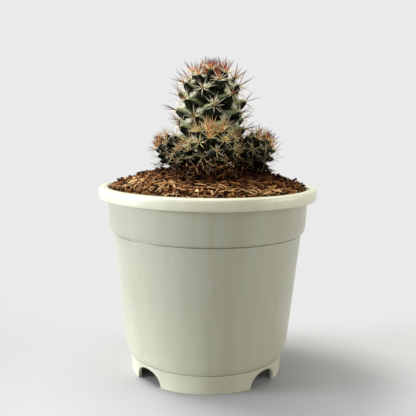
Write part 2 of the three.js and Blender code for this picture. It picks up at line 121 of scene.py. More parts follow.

# A head: its middle, its crown's direction, how far its tubercles reach out (radius) and its stem
# up and down, how square its shoulders are (bulge), the tubercles' height (wart), the first one's
# turn, and the mm2 of skin that each takes, from young_room at the crown to room growth mm down.
# A star of spines has radials and centrals, and crowded more at the crown, where blush is how
# red they are. straw is how yellow the others are, woolly how much wool the axils hold, and the
# last key how pale the tubercles are painted on top, as wax bloom and painted top light. The neck
# runs down to root.
OFFSET = dict(bulge=2.2, centrals=2, straw=0.5, woolly=0.12, waxy=0.2)
HEADS = {name: SimpleNamespace(**values) for name, values in {
    "mother_stem": dict(
        centre=(1, 2, 133.1), crown=(0, 0, 1), radius=17.6, up=17.4, down=32, bulge=2.5,
        wart=5.6, turn=167.4, room=74.2, young_room=10.4, growth=21,
        radials=9, radial_length=6.6, centrals=3, central_length=9.2, thickness=0.15,
        root=(1, 2, 92), root_radius=7.5, crowded=12, blush=1.0, straw=0.0,
        woolly=1.3, waxy=1.0),
    "offset_front": dict(
        OFFSET, centre=(1.5, -19.5, 113.6), crown=(0.04, -0.5, 0.86), radius=12, up=9.6,
        down=12, bulge=2.3, wart=3.9, turn=161.2, room=25.5, young_room=5.8, growth=8,
        radials=8, radial_length=5.2, central_length=7.6, thickness=0.11,
        root=(1.5, -14.5, 95), root_radius=4.6, crowded=8, blush=0.5, straw=0.8),
    "offset_right": dict(
        OFFSET, centre=(22.8, -4.5, 112.4), crown=(0.62, -0.18, 0.76), radius=10.6, up=8,
        down=9.6, wart=3.5, turn=217.3, room=26.6, young_room=10.4, growth=12,
        radials=9, radial_length=5.4, central_length=6.6, thickness=0.105,
        root=(17.2, -3.5, 95.5), root_radius=3.8, crowded=12, blush=1.0),
    "offset_left": dict(
        OFFSET, centre=(-17.6, -1.5, 112.5), crown=(-0.78, -0.2, 0.6), radius=9, up=7.2,
        down=8.6, wart=3.2, turn=57.7, room=30, young_room=9, growth=14,
        radials=8, radial_length=5.2, central_length=6.2, thickness=0.1,
        root=(-13.4, -0.5, 95.5), root_radius=3.6, crowded=14, blush=0.9, waxy=0.12),
    "offset_small": dict(
        OFFSET, centre=(-11.4, -17.6, 109.8), crown=(-0.35, -0.5, 0.79), radius=6.6, up=5.2,
        down=6, wart=2.5, turn=10, room=21, young_room=6, growth=8,
        radials=8, radial_length=4.2, central_length=5.0, thickness=0.12,
        root=(-9.8, -15.5, 96), root_radius=2.6, crowded=4, blush=0.3, straw=0.6),
    "offset_back": dict(
        OFFSET, centre=(-0.5, 22.6, 112.6), crown=(-0.12, 0.6, 0.79), radius=9.8, up=7.6,
        down=9, wart=3.3, turn=60, room=28, young_room=7, growth=10,
        radials=9, radial_length=5.2, central_length=6.2, thickness=0.12,
        root=(0.2, 17.5, 95.5), root_radius=3.6, crowded=10, blush=0.7),
}.items()}

# ---- materials


def linear(hex_colour):
    """An sRGB hex colour as the linear values that a shader takes."""
    channels = [int(hex_colour[i:i + 2], 16) / 255 for i in (1, 3, 5)]
    curved = [c / 12.92 if c <= 0.04045 else ((c + 0.055) / 1.055) ** 2.4 for c in channels]
    return (*curved, 1.0)


def set_stops(elements, stops):
    """Gives a new ramp its colours. stops is [(place, hex colour), ...]."""
    elements.remove(elements[-1])
    for i, (place, hex_colour) in enumerate(stops):
        element = elements[0] if i == 0 else elements.new(place)
        element.position = place
        element.color = linear(hex_colour)


def feed(tree, node, settings=None, links=None):
    """Gives a shader node its settings and the sockets that feed it.

    A settings key is a property's name, an input's name or number, or "stops" for a ramp's
    colours. A links key is an input. Its value is an output, or a node for its first output.
    """
    for key, value in (settings or {}).items():
        if key == "stops":
            set_stops(node.color_ramp.elements, value)
        elif isinstance(key, str) and hasattr(node, key):
            setattr(node, key, value)
        else:
            node.inputs[key].default_value = value
    for key, source in (links or {}).items():
        output = source.outputs[0] if hasattr(source, "outputs") else source
        tree.links.new(output, node.inputs[key])
    return node


def add(tree, kind, settings=None, links=None):
    """Adds a shader node, with its settings and links as in feed."""
    return feed(tree, tree.nodes.new("ShaderNode" + kind), settings, links)


def new_material(name):
    """A material, its tree, its bare shader and the socket that gives the place on a piece."""
    made = bpy.data.materials.new(name)
    made.use_nodes = True
    tree = made.node_tree
    tree.nodes.clear()
    shader = add(tree, "BsdfPrincipled")
    add(tree, "OutputMaterial", links={"Surface": shader})
    return made, tree, shader, add(tree, "TexCoord").outputs["Object"]


def per_mm(size):
    """The scale of a noise whose blots are about this many millimetres across."""
    return 1 / (size * MM)


def varied(tree, value, noise, swing):
    """A value from 0 to 1 that a noise carries up and down, by swing in all."""
    aside = add(tree, "Math", {"operation": "MULTIPLY_ADD", 1: swing, 2: -swing / 2}, {0: noise})
    return add(tree, "Math", {"operation": "ADD", "use_clamp": True}, {0: value, 1: aside})


def way_up(tree, place, start, end, most=1.0):
    """How far a place's height is on its way from start to end, from 0 to most."""
    height = add(tree, "SeparateXYZ", links={"Vector": place}).outputs["Z"]
    return add(tree, "MapRange", {"From Min": start, "From Max": end, "To Max": most},
               {"Value": height})


def darker_towards_chips(tree, place, colour, dark_colour, heights, most=1.0):
    """A colour that turns darker towards the chips, from one height down to another."""
    low = way_up(tree, place, heights[0] * MM, heights[1] * MM, most)
    return add(tree, "MixRGB", {"Color2": linear(dark_colour)}, {"Fac": low, "Color1": colour})


def moulded_polypropylene():
    """Injection-moulded polypropylene: satin ivory with a green cast and a faint orange peel.

    The melt leaves upright streaks. The lip and the foot are painted paler and the wall between
    darker: painted light, standing in for the top light and the bright floor.
    """
    made, tree, shader, place = new_material("moulded_polypropylene")
    upright = add(tree, "Mapping", {"Scale": (1.0, 1.0, 0.04)}, {"Vector": place})
    flow = add(tree, "TexNoise", {"Scale": per_mm(7), "Detail": 4.0, "Roughness": 0.6},
               {"Vector": upright})
    tone = add(tree, "ValToRGB", {"stops": [(0.3, "#C4C4A8"), (0.5, "#CCCAAF"), (0.7, "#CDCFB5")]},
               {"Fac": flow})
    share = way_up(tree, place, 0, POT_HEIGHT * MM)
    # Painted light: paler at the foot and the lip, darker on the wall between.
    painted_light_by_height = add(tree, "ValToRGB", {"stops": [
        (0.0, "#F8F8F8"), (0.06, "#E4E4E4"), (0.2, "#D0D0D0"), (0.48, "#C4C4C4"),
        (0.93, "#BFBFBF"), (0.945, "#E6E6E6"), (1.0, "#F8F8F8")]}, {"Fac": share})
    shown = add(tree, "MixRGB", {"blend_type": "MULTIPLY", "Fac": 1.0},
                {"Color1": tone, "Color2": painted_light_by_height})
    specks = add(tree, "TexNoise", {"Scale": per_mm(0.9)}, {"Vector": place})
    dust = add(tree, "ValToRGB", {"stops": [(0.70, "#000000"), (0.78, "#303030")]}, {"Fac": specks})
    colour = add(tree, "MixRGB", {"Color2": linear("#A89C80")}, {"Fac": dust, "Color1": shown})
    cloud = add(tree, "TexNoise", {"Scale": per_mm(22), "Detail": 3.0}, {"Vector": place})
    gloss = add(tree, "MapRange", {"To Min": 0.26, "To Max": 0.32}, {"Value": cloud})
    peel = add(tree, "TexNoise", {"Scale": per_mm(1.6), "Detail": 4.0}, {"Vector": place})
    bump = add(tree, "Bump", {"Strength": 0.05, "Distance": 0.05 * MM}, {"Height": peel})
    feed(tree, shader, {"IOR": 1.49}, {"Base Color": colour, "Roughness": gloss, "Normal": bump})
    return made


def coconut_husk(name, stops, roughness=0.9):
    """Chopped coconut husk: dull, fibrous and uneven, every chip in a brown of its own."""
    made, tree, shader, place = new_material(name)
    own = add(tree, "Attribute", {"attribute_name": "shade"}).outputs["Fac"]
    mottle = add(tree, "TexNoise", {"Scale": per_mm(0.8), "Detail": 5.0, "Roughness": 0.65},
                 {"Vector": place})
    colour = add(tree, "ValToRGB", {"stops": stops}, {"Fac": varied(tree, own, mottle, 0.5)})
    bump = add(tree, "Bump", {"Strength": 0.7, "Distance": 0.25 * MM}, {"Height": mottle})
    feed(tree, shader, {"Roughness": roughness, "Specular IOR Level": 0.06},
         {"Base Color": colour, "Normal": bump})
    return made


def cactus_skin():
    """Cactus skin: dark green, painted near black as shade, below each tubercle; pale on top as wax
    bloom and painted top light.

    It has pale flecks, and is drawn darker brown towards the chips.
    """
    made, tree, shader, place = new_material("cactus_skin_and_painted_light")
    blotch = add(tree, "TexNoise", {"Scale": per_mm(2.2), "Detail": 4.0}, {"Vector": place})
    # Painted shade and painted light: near-black flesh on the sides that face down, a pale top on
    # those that face the sky.
    flesh = add(tree, "ValToRGB", {"stops": [(0.35, "#020300"), (0.65, "#090B03")]}, {"Fac": blotch})
    painted_top_light_tone = add(tree, "ValToRGB", {"stops": [(0.35, "#7A8454"), (0.65, "#B0B788")]}, {"Fac": blotch})
    upper = add(tree, "Attribute", {"attribute_name": "upper"}).outputs["Fac"]
    patchy = add(tree, "TexNoise", {"Scale": per_mm(1.3), "Detail": 3.0}, {"Vector": place})
    cover = varied(tree, upper, patchy, 0.6)
    skin_with_painted_light = add(tree, "MixRGB", links={"Fac": cover, "Color1": flesh, "Color2": painted_top_light_tone})
    specks = add(tree, "TexNoise", {"Scale": per_mm(0.35), "Detail": 1.0}, {"Vector": place})
    fleck = add(tree, "ValToRGB", {"stops": [(0.64, "#000000"), (0.74, "#3A3A3A")]}, {"Fac": specks})
    flecked = add(tree, "MixRGB", {"Color2": linear("#979A6A")}, {"Fac": fleck, "Color1": skin_with_painted_light})
    # Darker brown towards the chips.
    darkened = darker_towards_chips(tree, place, flecked, "#0C0704", SKIN_DARKENS_Z)
    wrinkle = add(tree, "TexNoise", {"Scale": per_mm(1.1), "Detail": 5.0}, {"Vector": place})
    bump = add(tree, "Bump", {"Strength": 0.55, "Distance": 0.22 * MM}, {"Height": wrinkle})
    feed(tree, shader, {"Roughness": 0.55, "Specular IOR Level": 0.04},
         {"Base Color": darkened, "Normal": bump})
    return made


def horn(name, old, straw, young):
    """Spines are horn-like: pale and slightly glossy at the root, dark at the point.

    old, straw and young are the colours along a spine: on the stem, on the offsets with
    their yellower spines, and at a crown.
    """
    made, tree, shader, place = new_material(name)
    along, youth, yellow = (add(tree, "Attribute", {"attribute_name": value}).outputs["Fac"]
                            for value in ("along", "youth", "shade"))
    old_tone, straw_tone, young_tone = (add(tree, "ValToRGB", {"stops": stops}, {"Fac": along})
                                        for stops in (old, straw, young))
    grown = add(tree, "MixRGB", links={"Fac": yellow, "Color1": old_tone, "Color2": straw_tone})
    colour = add(tree, "MixRGB", links={"Fac": youth, "Color1": grown, "Color2": young_tone})
    streak = add(tree, "TexNoise", {"Scale": per_mm(1.4)}, {"Vector": place})
    worn = add(tree, "ValToRGB", {"stops": [(0.35, "#C4BAA8"), (0.65, "#FFFFFF")]}, {"Fac": streak})
    uneven = add(tree, "MixRGB", {"blend_type": "MULTIPLY", "Fac": 0.8},
                 {"Color1": colour, "Color2": worn})
    # Darker towards the chips.
    darker_low_spines = darker_towards_chips(tree, place, uneven, "#2A1F15", SPINES_DARKEN_Z, most=0.9)
    feed(tree, shader, {"Roughness": 0.42, "Specular IOR Level": 0.3}, {"Base Color": darker_low_spines})
    return made


def cactus_wool(name, shaded, lit):
    """Short matted plant hairs: dull, soft-edged fluff, painted in patches of a shaded yellower tone
    and a lit paler one.
    """
    made, tree, shader, place = new_material(name)
    tufts = add(tree, "TexNoise", {"Scale": per_mm(1.5), "Detail": 3.0}, {"Vector": place})
    colour = add(tree, "ValToRGB", {"stops": [(0.3, shaded), (0.6, lit)]}, {"Fac": tufts})
    feed(tree, shader, {"Roughness": 0.95, "Sheen Weight": 0.3}, {"Base Color": colour})
    return made


# ---- mesh tools


def in_scene(name, data):
    """A new object of a mesh, a light or a camera, in the scene."""
    made = bpy.data.objects.new(name, data)
    bpy.context.scene.collection.objects.link(made)
    return made


def mesh_object(name, corners, faces, material, smooth=True, attributes=None):
    """An object from corners in millimetres and faces. attributes is {name: a value a corner}."""
    mesh = bpy.data.meshes.new(name)
    mesh.from_pydata([tuple(MM * v for v in corner) for corner in corners], [], faces)
    for key, values in (attributes or {}).items():
        stored = mesh.attributes.new(key, "FLOAT", "POINT")
        stored.data.foreach_set("value", np.asarray(values, dtype=np.float32))
    mesh.materials.append(material)
    mesh.polygons.foreach_set("use_smooth", [smooth] * len(mesh.polygons))
    mesh.update()
    return in_scene(name, mesh)


def apply_modifiers(piece):
    """Bakes a piece's modifiers into its mesh, so that none is left on it."""
    depsgraph = bpy.context.evaluated_depsgraph_get()
    made = bpy.data.meshes.new_from_object(piece.evaluated_get(depsgraph))
    piece.modifiers.clear()
    piece.data = made


def settle(piece, slot, *nodes):
    """A finished piece rides with the pot and stands for the CAD nodes that it replaces."""
    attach(piece, "root")
    if nodes:
        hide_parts(*nodes)


def clamp(value):
    return min(1, max(0, value))


def around(degrees, radius, height):
    """A point that many degrees round from the front, in millimetres."""
    angle = radians(degrees)
    return Vector((radius * sin(angle), -radius * cos(angle), height))


def across(way):
    """Two directions square to a way and to each other."""
    side = UP.cross(way)
    if side.length < 1e-3:
        side = Vector((1, 0, 0))
    side.normalize()
    return side, way.cross(side)


def outward(side, other, turn):
    """The direction at a turn in the plane of two others."""
    return side * cos(turn) + other * sin(turn)


def belt(low, high):
    """The faces between two closed rings, given by the numbers of their corners."""
    return [(low[k - 1], low[k], high[k], high[k - 1]) for k in range(len(low))]


def fan(middle, ring):
    """The triangles between one corner and a closed ring."""
    return [(middle, ring[k - 1], ring[k]) for k in range(len(ring))]


def lofted(foot, rings, top):
    """Corners and faces of a closed form: rings of corners, a corner below and one on top."""
    count = len(rings[0])
    corners = [foot, top, *(corner for ring in rings for corner in ring)]
    levels = [range(first, first + count) for first in range(2, len(corners), count)]
    faces = fan(0, levels[0][::-1]) + fan(1, levels[-1])
    for low, high in zip(levels, levels[1:]):
        faces += belt(low, high)
    return corners, faces


class Strands:
    """Many thin tapered strands, such as spines, hairs or fibres, gathered into one mesh."""

    def __init__(self):
        self.corners, self.faces, self.along, self.youth, self.shade = [], [], [], [], []

    def grow(self, root, way, length, radius, bend=(0, 0, 0), sides=4, pieces=3, blunt=0.0,
             youth=0.0, shade=0.5):
        """One strand from root along way. bend is how far its tip is carried aside, in mm.

        It ends in a point, or blunt is the share of its thickness that the tip keeps.
        """
        first = len(self.corners)
        side, other = across(way)
        bend = Vector(bend)
        for step in range(pieces + 1):
            part = step / pieces
            middle = root + way * (length * part) + bend * part * part
            thick = radius * (blunt + (1 - blunt) * (1 - part ** TAPER))
            ring = [middle + outward(side, other, tau * k / sides) * thick
                    for k in range(sides if thick else 1)]
            self.corners += ring
            self.along += [part] * len(ring)
        grown = len(self.corners) - first
        self.youth += [youth] * grown
        self.shade += [shade] * grown
        levels = [range(first + sides * k, first + sides * (k + 1)) for k in range(grown // sides)]
        for low, high in zip(levels, levels[1:]):
            self.faces += belt(low, high)
        self.faces.append(tuple(levels[0][::-1]))
        if blunt:
            self.faces.append(tuple(levels[-1]))
        else:
            self.faces += fan(len(self.corners) - 1, levels[-1])

    def piece(self, name, material):
        return mesh_object(name, self.corners, self.faces, material, attributes={
            "along": self.along, "youth": self.youth, "shade": self.shade})


# ---- pot


def arch_height(degrees):
    """How high the notches lift the foot ring's lower edge, that many degrees round."""
    nearest = min(abs((degrees - notch + 180) % 360 - 180) for notch in NOTCHES)
    share = nearest / NOTCH_HALF_ANGLE
    return 0.0 if share >= 1 else NOTCH_HEIGHT * sqrt(1 - share ** 2.3)


def rounded(points, steps=4):
    """An outline with its inner corners, (radius, height, rounding), rounded in steps."""
    out = [points[0]]
    for before, corner, after in zip(points, points[1:], points[2:]):
        corner_at = Vector(corner[:2])
        reach_in, reach_out = Vector(before[:2]) - corner_at, Vector(after[:2]) - corner_at
        size = min(corner[2], reach_in.length * 0.45, reach_out.length * 0.45)
        start, end = reach_in.normalized() * size, reach_out.normalized() * size
        for i in range(steps + 1):
            t = i / steps
            out.append(tuple(corner_at + start * (1 - t) ** 2 + end * t ** 2))
    out.append(points[-1])
    return [tuple(point[:2]) for point in out]


def pot_outline():
    """From the middle of the floor's underside, out and up to the rim, and down the inside."""
    lip = POT_HEIGHT - LIP_HEIGHT
    floor_top = FOOT_HEIGHT + FLOOR
    shoulder = FOOT_TOP_RADIUS + 0.6 * (WALL_FOOT_RADIUS - FOOT_TOP_RADIUS)
    return rounded([
        (0, FOOT_HEIGHT),
        (FOOT_TOP_RADIUS - FOOT_WALL, FOOT_HEIGHT, 0.4),
        (FOOT_RADIUS - FOOT_WALL, 0, 0.35),
        (FOOT_RADIUS, 0, 0.35),
        (FOOT_TOP_RADIUS, FOOT_HEIGHT - 0.1, 0.12),
        (FOOT_TOP_RADIUS - 0.6, FOOT_HEIGHT + 0.05, 0.1),
        (FOOT_TOP_RADIUS - 0.6, FOOT_HEIGHT + 0.4, 0.1),
        (FOOT_TOP_RADIUS + 0.4, FOOT_HEIGHT + 0.6, 0.15),
        (shoulder + 0.15, FOOT_HEIGHT + 3, 1.6),
        (WALL_FOOT_RADIUS, WALL_FOOT_Z, 2.4),
        (WALL_TOP_RADIUS, STEP_Z - 0.9, 0.15),
        (WALL_TOP_RADIUS - 0.6, STEP_Z - 0.7, 0.1),
        (WALL_TOP_RADIUS - 0.6, STEP_Z - 0.1, 0.1),
        (STEP_RADIUS + 0.05, STEP_Z, 0.15),
        (STEP_RADIUS + 0.6, STEP_Z + 1.1, 0.9),
        (STEP_RADIUS + 0.95, STEP_Z + 3.2, 1.6),
        (UPPER_RADIUS, lip, 0.4),
        (RIM_RADIUS - 0.5, lip, 0.35),
        (RIM_RADIUS - 0.1, lip + 0.5, 0.3),
        (RIM_RADIUS, POT_HEIGHT - 1.6, 1.0),
        (RIM_RADIUS - 0.5, POT_HEIGHT - 0.35, 0.6),
        (RIM_RADIUS - 1.9, POT_HEIGHT, 0.8),
        (LIP_INNER_RADIUS + 0.5, POT_HEIGHT, 0.4),
        (LIP_INNER_RADIUS, POT_HEIGHT - 0.5, 0.4),
        (UPPER_RADIUS - WALL, lip, 1.0),
        (STEP_RADIUS + 0.6 - WALL, STEP_Z + 2, 1.0),
        (WALL_TOP_RADIUS - WALL, STEP_Z - WALL, 1.0),
        (WALL_FOOT_RADIUS - WALL, WALL_FOOT_Z, 2.0),
        (FOOT_TOP_RADIUS - WALL / 2, floor_top, 1.0),
        (0, floor_top),
    ])


def pot_columns():
    """Degrees round the pot: even steps, closer at the sides of the notches."""
    columns = {round(step * 2.5, 3) for step in range(144)}
    for notch in NOTCHES:
        for side in (-1, 1):
            for back in (-0.25, 0, 0.12, 0.3, 0.6, 1.0, 1.6, 2.4):
                columns.add(round((notch + side * (NOTCH_HALF_ANGLE - back)) % 360, 3))
    return sorted(columns)


def lifted(radius, height, lift):
    """A point of the foot ring's outline, where a notch lifts the ring's lower edge."""
    raised = lift + height * (FOOT_HEIGHT - lift) / FOOT_HEIGHT
    return radius + (FOOT_TOP_RADIUS - FOOT_RADIUS) * (raised - height) / FOOT_HEIGHT, raised


def pot_body(material):
    """The pot in one turned skin, with the notches in its foot ring and holes in its floor."""
    outline, columns = pot_outline(), pot_columns()
    rings = []
    for radius, height in outline[1:-1]:
        in_foot = height < FOOT_HEIGHT - 0.05 and radius < FOOT_TOP_RADIUS + 0.01
        lifts = [arch_height(degrees) if in_foot else 0.0 for degrees in columns]
        rings.append([around(degrees, *lifted(radius, height, lift))
                      for degrees, lift in zip(columns, lifts)])
    foot, top = Vector((0, 0, outline[0][1])), Vector((0, 0, outline[-1][1]))
    made = mesh_object("pot_body", *lofted(foot, rings, top), material)
    cut_drain(made, foot)
    for degrees in NOTCHES:
        cut_drain(made, around(degrees, DRAIN_CIRCLE, FOOT_HEIGHT))
    made.data.set_sharp_from_angle(angle=radians(38))
    settle(made, "pot", "pot")


def cut_drain(pot, place):
    """A round drain hole through the pot's floor."""
    low, high = place - UP * 3, place + UP * 4
    edge = [around(360 * k / DRAIN_SIDES, DRAIN_RADIUS, 0) for k in range(DRAIN_SIDES)]
    rings = [[end + aside for aside in edge] for end in (low, high)]
    cutter = mesh_object("drain_cutter", *lofted(low, rings, high), pot.data.materials[0])
    cut = pot.modifiers.new("drain", "BOOLEAN")
    cut.operation, cut.solver, cut.object = "DIFFERENCE", "EXACT", cutter
    apply_modifiers(pot)
    bpy.data.objects.remove(cutter)


# ---- heads


def stem_radius(head, height):
    reach = head.up if height > 0 else head.down
    share = min(1, abs(height) / reach)
    return (head.radius - head.wart) * (1 - share ** head.bulge) ** (1 / head.bulge)


def head_frame(head):
    """Where a head's middle is and how it is turned: its crown looks along the frame's +Z."""
    crown = Vector(head.crown).normalized()
    return Vector(head.centre), UP.rotation_difference(crown).to_matrix()


def inside_stem(head, point, margin):
    centre, turned = head_frame(head)
    local = turned.transposed() @ (point - centre)
    if not -head.down - margin < local.z < head.up + margin:
        return False
    height = max(-head.down, min(head.up, local.z))
    return hypot(local.x, local.y) < stem_radius(head, height) + margin


def soil_height(x, y):
    share = min(1, hypot(x, y) / LIP_INNER_RADIUS)
    return SOIL_EDGE_Z + (SOIL_CREST_Z - SOIL_EDGE_Z) * (1 - share ** SOIL_SHAPE)


def over_soil(point):
    """How high a point lies over the smooth mound."""
    return point.z - soil_height(point.x, point.y)


def is_clear(name, tip, clearance):
    """Whether a tip of a head ends over the chips and out of the other heads."""
    others = (head for key, head in HEADS.items() if key != name)
    return over_soil(tip) >= clearance[0] and not any(
        inside_stem(head, tip, clearance[1]) for head in others)


def spiral_seats(name, steps=200):
    """Seats of the tubercles, in one spiral from the crown down. A young one has less room.

    on_ball is the seat on a ball that keeps the seats' spacing in proportion.
    """
    head = HEADS[name]
    centre, turned = head_frame(head)
    seats = []
    along = count = ball_way = ball_middle = 0.0
    last_radius, last_height = 0.0, head.up
    for step in range(1, steps):
        angle = pi / 2 - pi * step / steps
        height = sin(angle) * (head.down if angle < 0 else head.up)
        radius = stem_radius(head, height)
        middle = (radius + last_radius) / 2
        piece = hypot(radius - last_radius, height - last_height)
        along += piece
        ball_way += piece / middle
        if height > 0:
            ball_middle = ball_way
        age = min(1, along / head.growth)
        room = head.young_room + (head.room - head.young_room) * age
        count += tau * middle * piece / room
        while count >= len(seats) + 0.5:
            turn = radians(head.turn) + GOLDEN_TURN * len(seats)
            out = Vector((sin(turn), -cos(turn), 0))
            rise, fall = (last_height - height) / piece, (radius - last_radius) / piece
            way = turned @ (out * rise + UP * (fall + LIFT)).normalized()
            size = head.wart * (YOUNG_SIZE + (1 - YOUNG_SIZE) * age)
            seat = centre + turned @ (out * radius + UP * height)
            foot = seat + turned @ (out * fall - UP * rise) * DROOP * size
            tip = seat + way * size
            seats.append(SimpleNamespace(
                point=foot, way=(tip - foot).normalized(), size=(tip - foot).length, tip=tip,
                age=age, youth=max(0.0, 1 - (pi / 2 - angle) / YOUNG_ANGLE),
                tip_radius=TIP_SPREAD * sqrt(room), ball_way=ball_way, out=out,
                bare=not is_clear(name, tip, TUBERCLE_CLEARANCE)))
        last_radius, last_height = radius, height
    for seat in seats:
        up = tanh(ball_middle - seat.ball_way)
        seat.on_ball = seat.out * sqrt(1 - up * up) + UP * up
        seat.pit = seat.tip - seat.way * PIT_DEPTH
    return seats


def seat_rings(seats):
    """The triangles between neighbouring seats, and for every seat those round it in order."""
    shape = bmesh.new()
    corners = [shape.verts.new(seat.on_ball) for seat in seats]
    shape.verts.index_update()
    bmesh.ops.convex_hull(shape, input=corners)
    bmesh.ops.recalc_face_normals(shape, faces=shape.faces)
    triangles = [tuple(v.index for v in face.verts) for face in shape.faces]
    shape.free()
    after = [{} for _ in seats]
    for number, (a, b, c) in enumerate(triangles):
        after[a][b], after[b][c], after[c][a] = (number, c), (number, a), (number, b)
    rings = []
    for ways in after:
        at, ring = next(iter(ways)), []
        while len(ring) < len(ways):
            number, at = ways[at]
            ring.append(number)
        rings.append(ring)
    return triangles, rings


def axil_places(seats, triangles):
    """The lowest places between the tubercles: the middle of every three neighbouring seats."""
    return [sum((seats[i].point for i in three), Vector()) / 3 for three in triangles]


class Flesh:
    """The corners and faces of a head's skin. upper is how pale each corner is painted, as wax bloom
    and as painted top light.
    """

    def __init__(self):
        self.corners, self.upper, self.faces = [], [], []

    def corner(self, point, paleness):
        self.corners.append(point)
        self.upper.append(paleness)
        return len(self.corners) - 1


# How pale the axils and the saddles between tubercles are painted: they lie mostly in painted shade.
AXIL_PALENESS = 0.12
SADDLE_PALENESS = 0.04
SADDLE_RISE = 0.08


def seat_feet(flesh, seats):
    """Each tubercle's foot: a ring through the axils round it and the saddles between them."""
    triangles, rings = seat_rings(seats)
    axils = [flesh.corner(place, AXIL_PALENESS) for place in axil_places(seats, triangles)]
    saddles, feet = {}, []
    for ring in rings:
        foot = []
        for number, following in zip(ring, ring[1:] + ring[:1]):
            pair = (min(number, following), max(number, following))
            if pair not in saddles:
                shared = [seats[i] for i in set(triangles[number]) & set(triangles[following])]
                out = sum((one.way for one in shared), Vector()).normalized()
                middle = (flesh.corners[axils[number]] + flesh.corners[axils[following]]) / 2
                rise = SADDLE_RISE * sum(one.size for one in shared) / len(shared)
                saddles[pair] = flesh.corner(middle + out * rise, SADDLE_PALENESS)
            foot += [axils[number], saddles[pair]]
        feet.append(foot)
    return feet


# A tubercle from its foot to its tip: (share of its height, share of its foot's spread).
TUBERCLE_RINGS = ((0.12, 0.94), (0.34, 0.82), (0.58, 0.66), (0.80, 0.48), (0.94, 0.34))


def tubercle(flesh, seat, foot, head, draw):
    """The rings of a tubercle over its foot: keeled on four sides, with a sunken tip.

    Its upper side, which faces the crown and the sky, is painted pale, as wax bloom and as painted
    top light.
    """
    crown_way = (Vector(head.crown).normalized() + UP).normalized()
    flat = []
    for below in foot:
        out = flesh.corners[below] - seat.point
        sunk = out.dot(seat.way)
        flat.append((out - seat.way * sunk, sunk))
    foot_spread = sum(out.length for out, _ in flat) / len(flat)
    tip_share = seat.tip_radius / foot_spread
    tall = seat.size * (0.98 + 0.06 * draw.random())
    side, above = across(seat.way)
    levels = []
    for share, wide in TUBERCLE_RINGS + ((1.0, tip_share), (0.95, 0.5 * tip_share)):
        level = []
        for out, sunk in flat:
            way_out = out.normalized()
            keel = 1.2 / (abs(way_out.dot(side)) + abs(way_out.dot(above)))
            spread = out.lerp(way_out * keel * foot_spread, min(1, 1.4 * share)) * wide
            rise = tall * share + sunk * (1 - share) ** 2
            # Painted top light and wax bloom: paler where the tubercle faces the crown and the sky.
            pale = head.waxy * clamp(3.0 * way_out.dot(crown_way) - 0.35)
            level.append(flesh.corner(seat.point + seat.way * rise + spread, pale))
        levels.append(level)
    return levels


def head_flesh(name, seats, material, draw):
    """The stem with its tubercles: one closed surface, smoothed by subdivision."""
    flesh = Flesh()
    for seat, foot in zip(seats, seat_feet(flesh, seats)):
        levels = [foot]
        if not seat.bare:
            levels += tubercle(flesh, seat, foot, HEADS[name], draw)
        for low, high in zip(levels, levels[1:]):
            flesh.faces += belt(low, high)
        flesh.faces.append(tuple(levels[-1]))
    made = mesh_object(f"{name}_flesh", flesh.corners, flesh.faces, material,
                       attributes={"upper": flesh.upper})
    smoothing = made.modifiers.new("smooth", "SUBSURF")
    smoothing.levels = smoothing.render_levels = 2
    apply_modifiers(made)
    settle(made, "cactus", name)


def head_neck(name, material):
    """The corky neck from below the head to its root in the chips."""
    root = Vector(HEADS[name].root)
    reach = Vector(HEADS[name].centre) - root
    way, length, radius = reach.normalized(), reach.length, HEADS[name].root_radius
    side, other = across(way)
    rings = []
    for wide, up in ((0.6, 0.0), (1.0, 4.0), (1.1, 0.45 * length), (1.15, 0.6 * length)):
        ring = []
        for k in range(NECK_SIDES):
            turn = tau * k / NECK_SIDES
            swell = 1 + 0.06 * sin(3 * turn + up)
            ring.append(root + way * up + outward(side, other, turn) * wide * radius * swell)
        rings.append(ring)
    corners, faces = lofted(root, rings, root + way * 0.85 * length)
    settle(mesh_object(f"{name}_neck", corners, faces, material,
                       attributes={"upper": [0.1] * len(corners)}), "cactus")


def leaning(seat, lean, turn):
    """A direction that leans so far off a tubercle's own, and the side that it leans to."""
    out = outward(*across(seat.way), turn)
    return (seat.way * cos(lean) + out * sin(lean)).normalized(), out


def radial_spines(name, seat, strands, worn, draw):
    """The pale spines that spread flat round an areole. Some of the old ones are lost."""
    head, young = HEADS[name], seat.youth
    start = draw.uniform(0, tau)
    thickness = head.thickness * (1 - 0.35 * worn) * (1 + 0.2 * young)
    count = head.radials + round(head.crowded * young)
    for i in range(count):
        turn = start + tau * (i + draw.uniform(-0.3, 0.3)) / count
        lean = radians(draw.uniform(58, 84)) * (1 - 0.45 * young)
        way, out = leaning(seat, lean, turn)
        length = head.radial_length * draw.uniform(0.72, 1.12)
        root = seat.pit + out * seat.tip_radius * 0.4
        bend = seat.way * draw.uniform(-0.8, 0.3) + out * 0.1
        kept = draw.random() > 0.8 * worn
        if kept and is_clear(name, root + way * length + bend, SPINE_CLEARANCE):
            strands.grow(root, way, length, thickness, bend, shade=head.straw,
                         youth=0.3 * head.blush * young)


def central_spines(name, seat, strands, worn, draw):
    """The longer amber spines that stand out of an areole."""
    head, young = HEADS[name], seat.youth
    thickness = head.thickness * (1 - 0.35 * worn) * (1.3 + 0.6 * young)
    count = head.centrals + (draw.random() < 0.4) + round(0.7 * head.crowded * young)
    for i in range(count):
        lean = radians(draw.uniform(4, 20) + 9 * min(i, 2))
        way, out = leaning(seat, lean, draw.uniform(0, tau))
        length = head.central_length * draw.uniform(0.8, 1.1) * (1 - 0.25 * young)
        bend = out * draw.uniform(-0.3, 0.4)
        if is_clear(name, seat.pit + way * length + bend, SPINE_CLEARANCE):
            redness = min(1, 1.5 * head.blush * young) * draw.uniform(0.7, 1)
            strands.grow(seat.pit, way, length, thickness, bend, shade=head.straw,
                         youth=redness)


